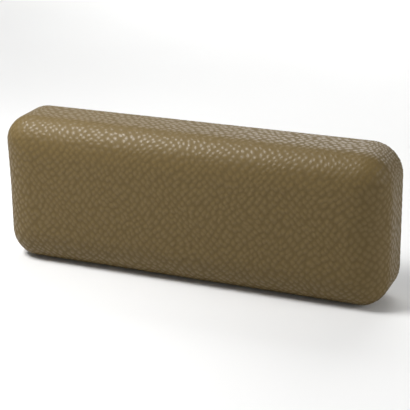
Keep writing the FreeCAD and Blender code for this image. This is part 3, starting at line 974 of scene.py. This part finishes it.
def make_staples(side, material):
    """One row of the dust cover's staples: flattened wire with bent shoulders, each a little askew."""
    node = f"dust_cover_staples_{side}"
    places, level = staple_places(node)
    points, faces = [], []
    bend = 0.9 * MM
    half = CROWN_LENGTH / 2 - WIRE_THICKNESS / 2
    path = [(-half, -LEG, 180)]
    path += [(-half, -bend, 180)]
    for angle in (150, 120, 90):
        turn = math.radians(angle)
        path.append((-half + bend + bend * math.cos(turn), -bend + bend * math.sin(turn), angle))
    path += [(-half + 2.5 * MM, 0.05 * MM, 90), (half - 2.5 * MM, 0.05 * MM, 90)]
    for angle in (90, 60, 30):
        turn = math.radians(angle)
        path.append((half - bend + bend * math.cos(turn), -bend + bend * math.sin(turn), angle))
    path += [(half, -bend, 0), (half, -LEG, 0)]
    section = []
    for step in range(12):
        turn = 2 * math.pi * step / 12
        across = math.copysign(abs(math.cos(turn)) ** 0.5, math.cos(turn)) * WIRE_WIDTH / 2
        up = math.copysign(abs(math.sin(turn)) ** 0.5, math.sin(turn)) * WIRE_THICKNESS / 2
        section.append((across, up))
    for x, z in places:
        askew = math.radians(float(rng.uniform(-5, 5)))
        sunk = float(rng.uniform(-0.10, 0.05)) * MM
        way = Vector((1, 0, 0)) if level else Vector((0, 0, 1))
        spin = Matrix.Rotation(askew, 3, "Y")
        way = spin @ way
        aside = way.cross(Vector((0, 1, 0)))
        origin = Vector((x, SHEET_HIGH.y + CROWN_RISE + sunk, z))
        first = len(points)
        for out, rise, angle in path:
            turn = math.radians(angle)
            for across, up in section:
                offset = way * (out + up * math.cos(turn)) + Vector((0, rise + up * math.sin(turn), 0))
                points.append(tuple(origin + offset + aside * across))
        for ring in range(len(path) - 1):
            for step in range(12):
                here = first + ring * 12 + step
                there = first + ring * 12 + (step + 1) % 12
                faces.append([here, there, there + 12, here + 12])
        last = first + (len(path) - 1) * 12
        faces.append([first + step for step in reversed(range(12))])
        faces.append([last + step for step in range(12)])
    piece = make_object(f"dust_staples_{side}", points, faces, material)
    fix_normals(piece)
    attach(piece, "root")
    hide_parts(node)


def fix_normals(piece):
    """Turns a closed mesh's faces outwards."""
    mesh = bmesh.new()
    mesh.from_mesh(piece.data)
    bmesh.ops.recalc_face_normals(mesh, faces=mesh.faces)
    mesh.to_mesh(piece.data)
    mesh.free()


# The object


def dress(node, material):
    """Gives a piece of the frame its material."""
    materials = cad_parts[node].data.materials
    materials.clear()
    materials.append(material)


cover = make_cover(vinyl_look())
make_wadding(wadding_look())
make_comfort_foam(foam_look("soft_foam", (0.80, 0.72, 0.50, 1), (0.55, 0.46, 0.27, 1), 0.9 * MM))
make_support_foam(foam_look("firm_foam", (0.42, 0.46, 0.52, 1), (0.24, 0.27, 0.32, 1), 0.6 * MM))
make_dust_cover(non_woven_look())
wire = plated_look("galvanised_wire", (0.72, 0.71, 0.69, 1), (0.52, 0.52, 0.51, 1), 0.32)
zinc = plated_look("zinc_plate", (0.74, 0.72, 0.66, 1), (0.55, 0.53, 0.48, 1), 0.28)
for side in SIDES:
    make_staples(side, wire)
for side in (*SIDES, "corners"):
    dress(f"cover_staples_{side}", wire)
for name in NUTS:
    dress(f"tee_nut_{name}", zinc)
dress("base_board", plywood_look())

# Floor, lights and camera

FLOOR_HALF = 1.8


def make_floor():
    """A wide level floor under the pad."""
    corners = [(-FLOOR_HALF, -FLOOR_HALF, 0), (FLOOR_HALF, -FLOOR_HALF, 0)]
    corners += [(FLOOR_HALF, FLOOR_HALF, 0), (-FLOOR_HALF, FLOOR_HALF, 0)]
    floor = make_object("studio_floor", corners, [[0, 1, 2, 3]], floor_look())
    floor.location.z = PAD_LOW.z - 0.2 * MM


def area_light(name, place, size, power, target=PAD_CENTRE, spread=math.pi):
    """A rectangular soft light that points at the pad, unless a target is given."""
    light = bpy.data.lights.new(name, "AREA")
    light.shape = "RECTANGLE"
    light.size, light.size_y = size
    light.energy = power
    light.spread = spread
    lamp = bpy.data.objects.new(name, light)
    bpy.context.scene.collection.objects.link(lamp)
    lamp.location = place
    lamp.rotation_mode = "QUATERNION"
    lamp.rotation_quaternion = (Vector(target) - Vector(place)).to_track_quat("-Z", "Y")


def set_world(overhead, horizon):
    """White light from all round, stronger towards the horizon and below it, as from pale walls."""
    world = bpy.data.worlds.new("studio")
    world.use_nodes = True
    tree = world.node_tree
    background = tree.nodes["Background"]
    background.inputs["Color"].default_value = (1, 1, 1, 1)
    way = tree.nodes.new("ShaderNodeTexCoord")
    split = tree.nodes.new("ShaderNodeSeparateXYZ")
    fade = tree.nodes.new("ShaderNodeMapRange")
    fade.interpolation_type = "SMOOTHSTEP"
    fade.inputs["From Min"].default_value = 0.04
    fade.inputs["From Max"].default_value = 0.36
    fade.inputs["To Min"].default_value = horizon
    fade.inputs["To Max"].default_value = overhead
    tree.links.new(way.outputs["Generated"], split.inputs["Vector"])
    tree.links.new(split.outputs["Z"], fade.inputs["Value"])
    tree.links.new(fade.outputs["Result"], background.inputs["Strength"])
    bpy.context.scene.world = world


CAMERA_AZIMUTH = 23.5
CAMERA_ELEVATION = 20.5
CAMERA_ROLL = -1.03
CAMERA_DISTANCE = 3.265 * PAD_SIZE.x
CAMERA_ASIDE = 0.025 * PAD_SIZE.x
CAMERA_UP = -0.004 * PAD_SIZE.x
CAMERA_LENS = 117.7
SENSOR = 36.0


def make_camera():
    """The camera, at the photograph's angle."""
    azimuth = math.radians(CAMERA_AZIMUTH)
    elevation = math.radians(CAMERA_ELEVATION)
    roll = math.radians(CAMERA_ROLL)
    level = math.cos(elevation)
    back = Vector((math.sin(azimuth) * level, -math.cos(azimuth) * level, math.sin(elevation)))
    right = (-back).cross(Vector((0, 0, 1))).normalized()
    up = right.cross(-back)
    turned_right = right * math.cos(roll) + up * math.sin(roll)
    turned_up = up * math.cos(roll) - right * math.sin(roll)
    camera = bpy.data.cameras.new("camera")
    camera.sensor_width = SENSOR
    camera.lens = CAMERA_LENS
    camera.clip_start = 0.01
    holder = bpy.data.objects.new("camera", camera)
    bpy.context.scene.collection.objects.link(holder)
    place = PAD_CENTRE + back * CAMERA_DISTANCE + turned_right * CAMERA_ASIDE + turned_up * CAMERA_UP
    holder.matrix_world = Matrix(
        (
            (turned_right.x, turned_up.x, back.x, place.x),
            (turned_right.y, turned_up.y, back.y, place.y),
            (turned_right.z, turned_up.z, back.z, place.z),
            (0, 0, 0, 1),
        )
    )
    bpy.context.scene.camera = holder


make_floor()
set_world(0.14, 0.75)
area_light("key", (-0.34, -0.24, 0.64), (0.25, 0.25), 6.0)
area_light("floor_light", (-0.3, 1.5, 1.6), (1.2, 1.2), 16.0, (-0.3, 1.1, 0))
area_light("near_floor_light", (-0.2, -1.3, 0.9), (2.4, 0.8), 9.0, (-0.2, -1.35, 0), math.radians(90))
area_light("far_floor_light", (0.1, 1.4, 0.55), (1.2, 0.5), 7.0, (0.15, 0.9, 0))
area_light("sheen_light", (-0.85, 1.4, 0.6), (0.8, 0.5), 2.0)
area_light("right_fill", (1.15, -0.08, 0.45), (0.6, 0.6), 4.8)
make_camera()
bpy.context.scene.view_settings.view_transform = "Standard"
